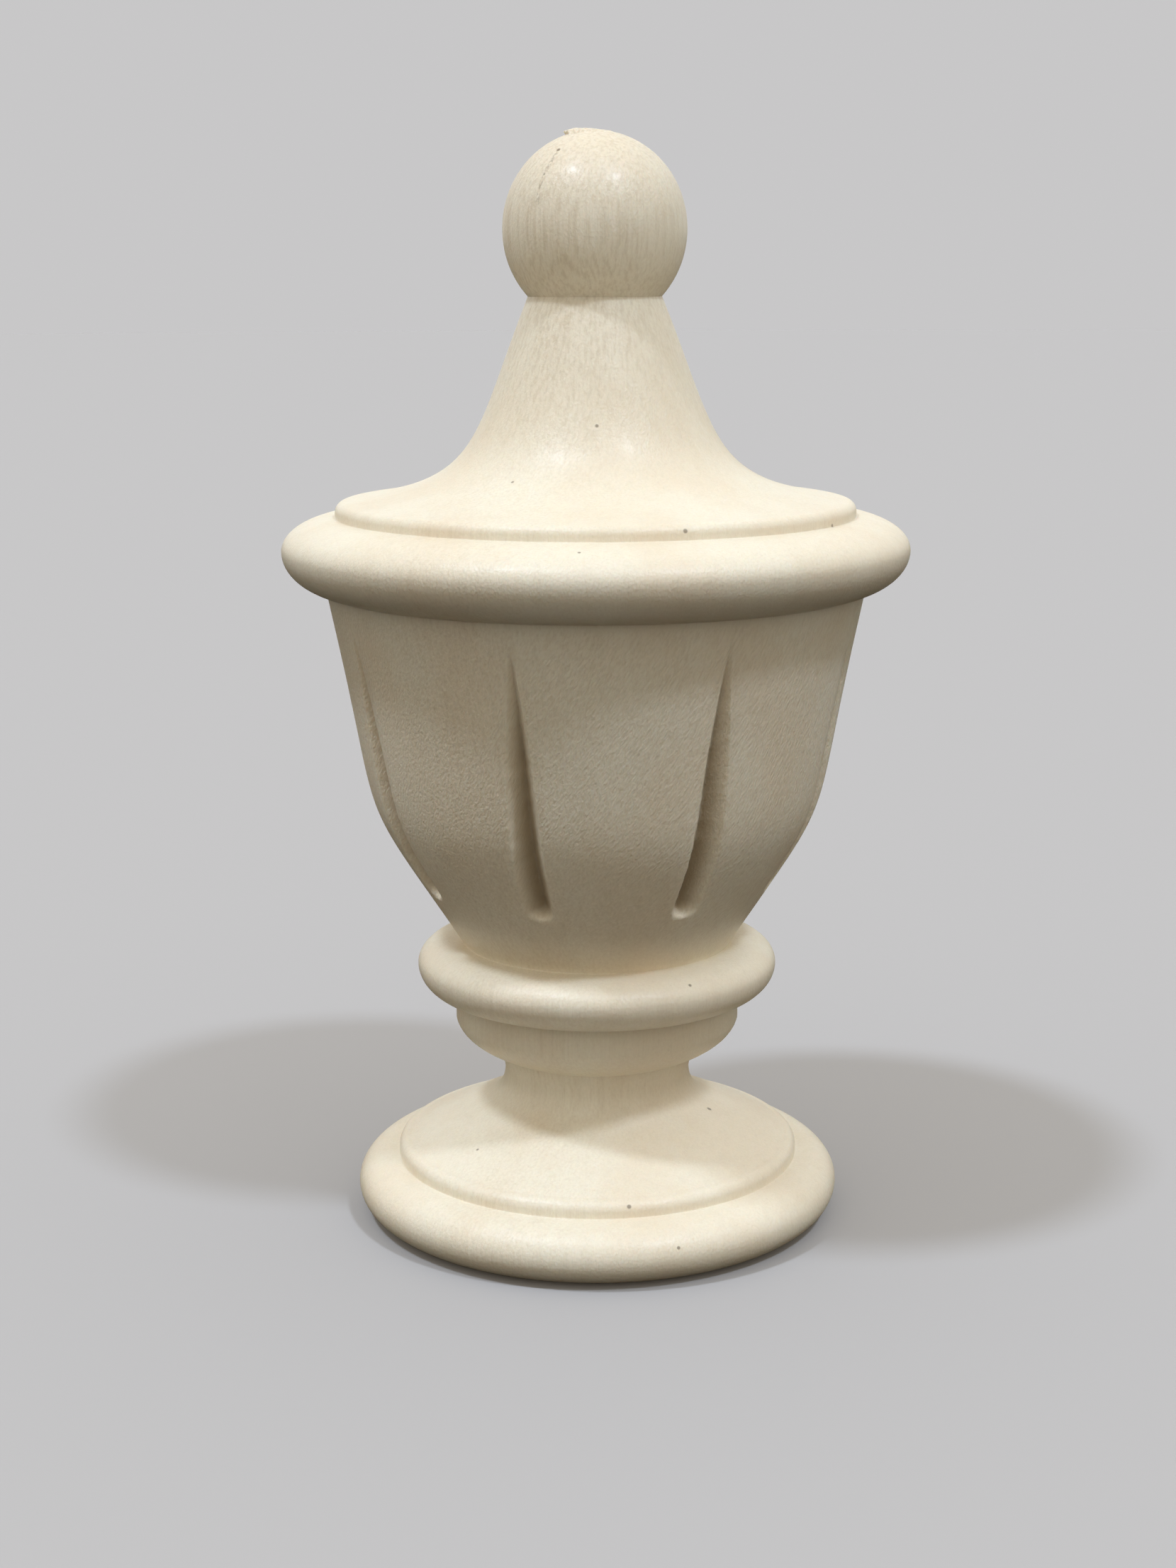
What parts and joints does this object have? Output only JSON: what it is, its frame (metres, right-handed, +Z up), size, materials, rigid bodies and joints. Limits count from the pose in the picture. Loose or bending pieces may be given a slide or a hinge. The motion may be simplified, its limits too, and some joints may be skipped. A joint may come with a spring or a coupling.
{
  "type": "furniture finial",
  "caption": "Turned wooden urn finial: a ball over a bell-shaped lid, a wide half-round rim, a round grooved bowl, a ringed stem and a stepped round base.",
  "frame": {"origin": "centre of the flat underside, where the finial stands", "axes": "+Z up along the turning axis, from the underside to the ball; +X and +Y each pass through the middle of a panel between two grooves"},
  "size_m": [0.065, 0.065, 0.1143],
  "materials": {
    "bare_hardwood": "pale close-grained hardwood, turned and lightly sanded, bare, with upright grain and small torn fibres in the carved bowl"
  },
  "bodies": {
    "root": {"turned_urn_finial": "bare_hardwood"}
  },
  "joints": []
}
